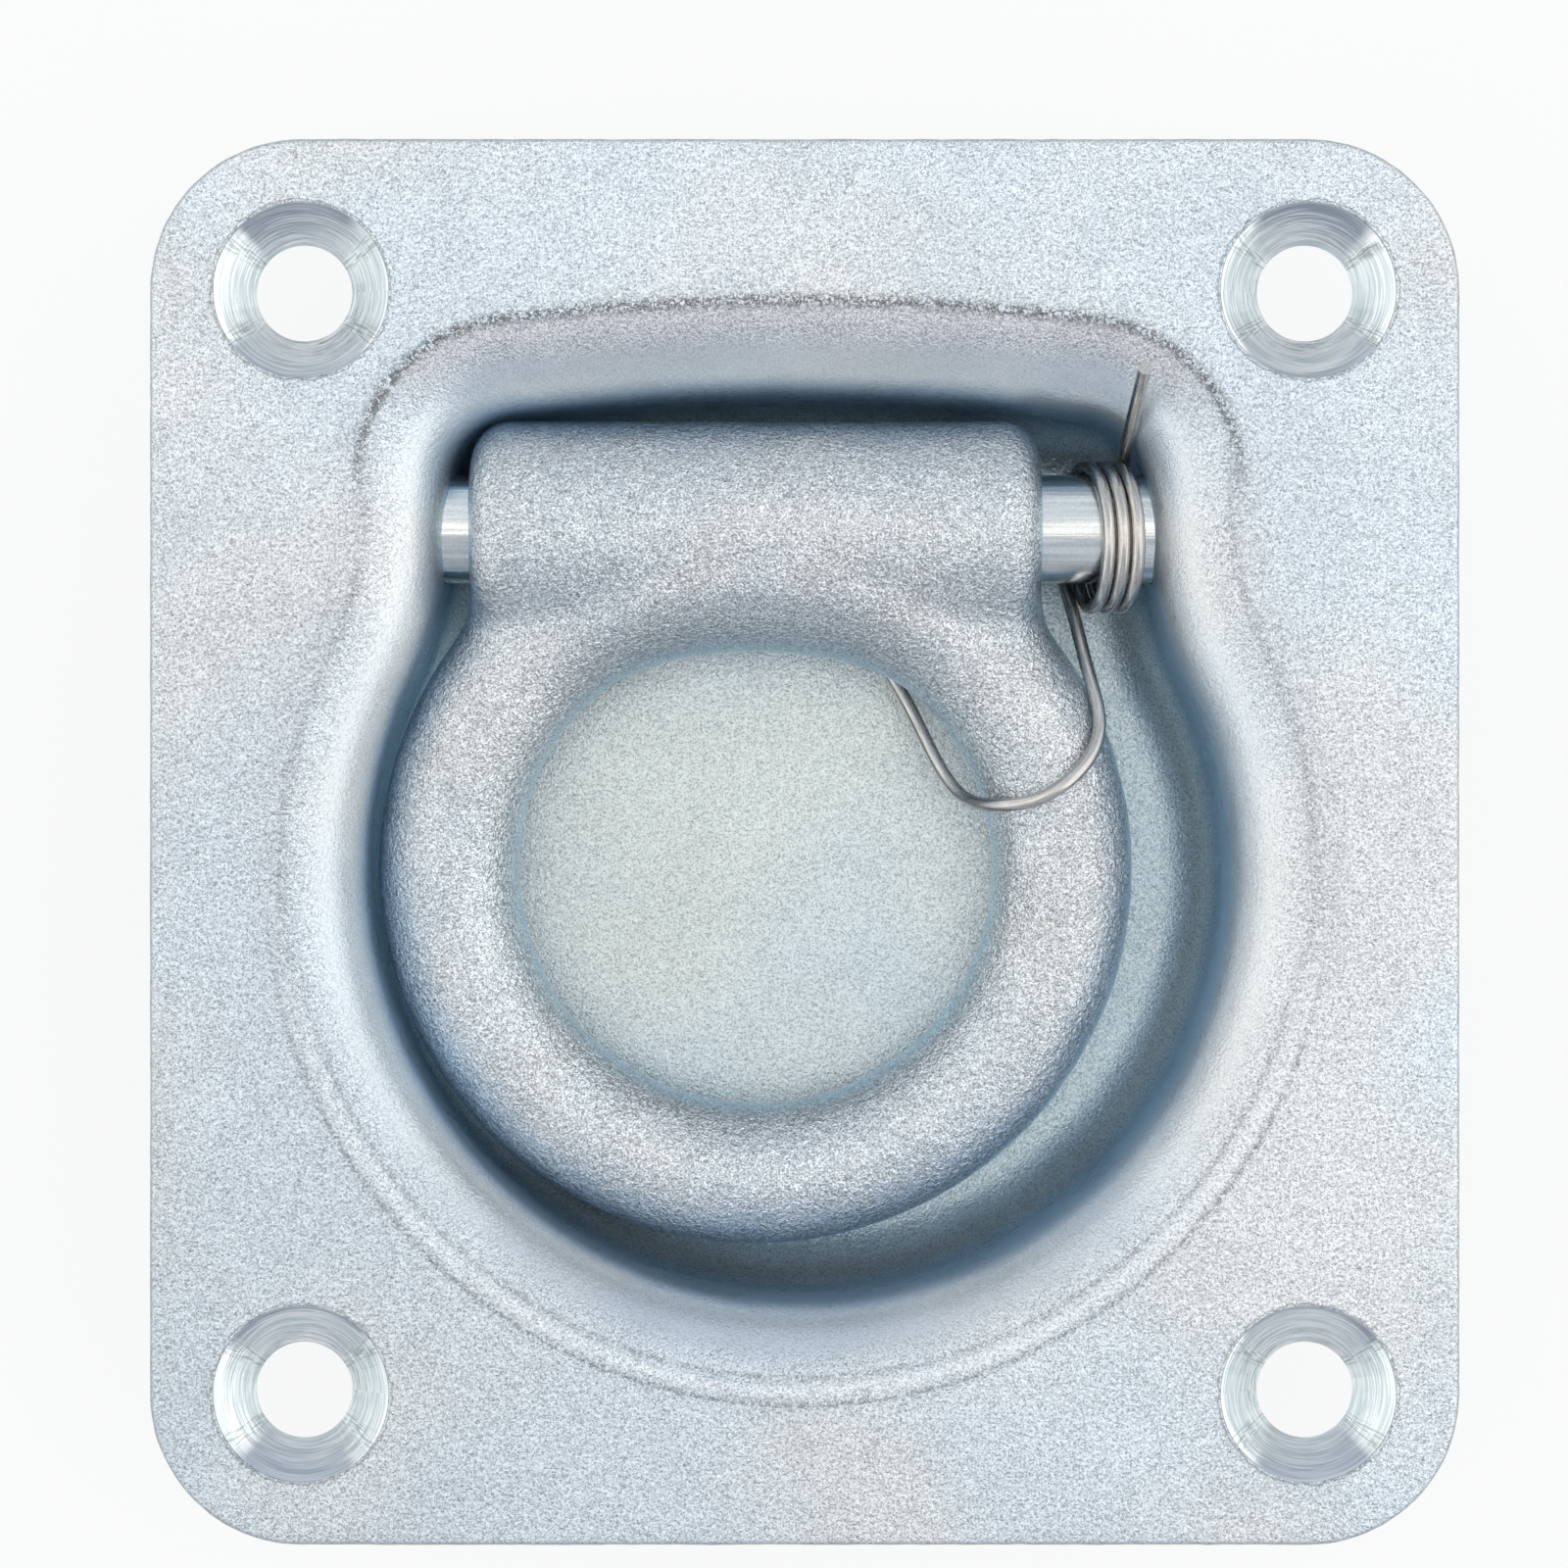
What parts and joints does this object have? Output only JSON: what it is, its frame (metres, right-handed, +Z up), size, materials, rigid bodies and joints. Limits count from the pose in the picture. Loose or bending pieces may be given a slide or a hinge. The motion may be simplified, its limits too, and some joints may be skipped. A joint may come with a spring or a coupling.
{
  "type": "recessed tie-down ring",
  "caption": "Pressed recessed pan that bolts down, with a forged lashing ring that hinges up on a pin and is held down by a torsion spring.",
  "frame": {"origin": "middle of the four corner holes, on the flange's underside, where it seats on the deck", "axes": "+Z up out of the deck, +Y towards the hinge pin, +X along the pin towards the end that carries the spring"},
  "size_m": [0.095, 0.102, 0.0261],
  "materials": {
    "zinc_plated_pan": "bluish bright zinc plating over pressed sheet",
    "zinc_plated_ring": "bluish bright zinc plating over a blasted forging",
    "bright_pin": "bright drawn bar with lengthwise streaks",
    "spring_wire": "plain drawn spring wire, slightly warm grey"
  },
  "bodies": {
    "pan_body": {"pan": "zinc_plated_pan", "hinge_pin": "bright_pin", "torsion_spring": "spring_wire"},
    "ring_body": {"forged_ring": "zinc_plated_ring"}
  },
  "joints": [
    {"name": "ring_hinge", "type": "hinge", "parent": "pan_body", "child": "ring_body", "pos_m": [-0.00045, 0.02305, -0.0051], "axis": [-1, 0, 0], "range_deg": [0, 124], "stiffness_Nm_per_rad": 0.09, "springref_deg": -20.05, "deforming": ["torsion_spring"]}
  ]
}
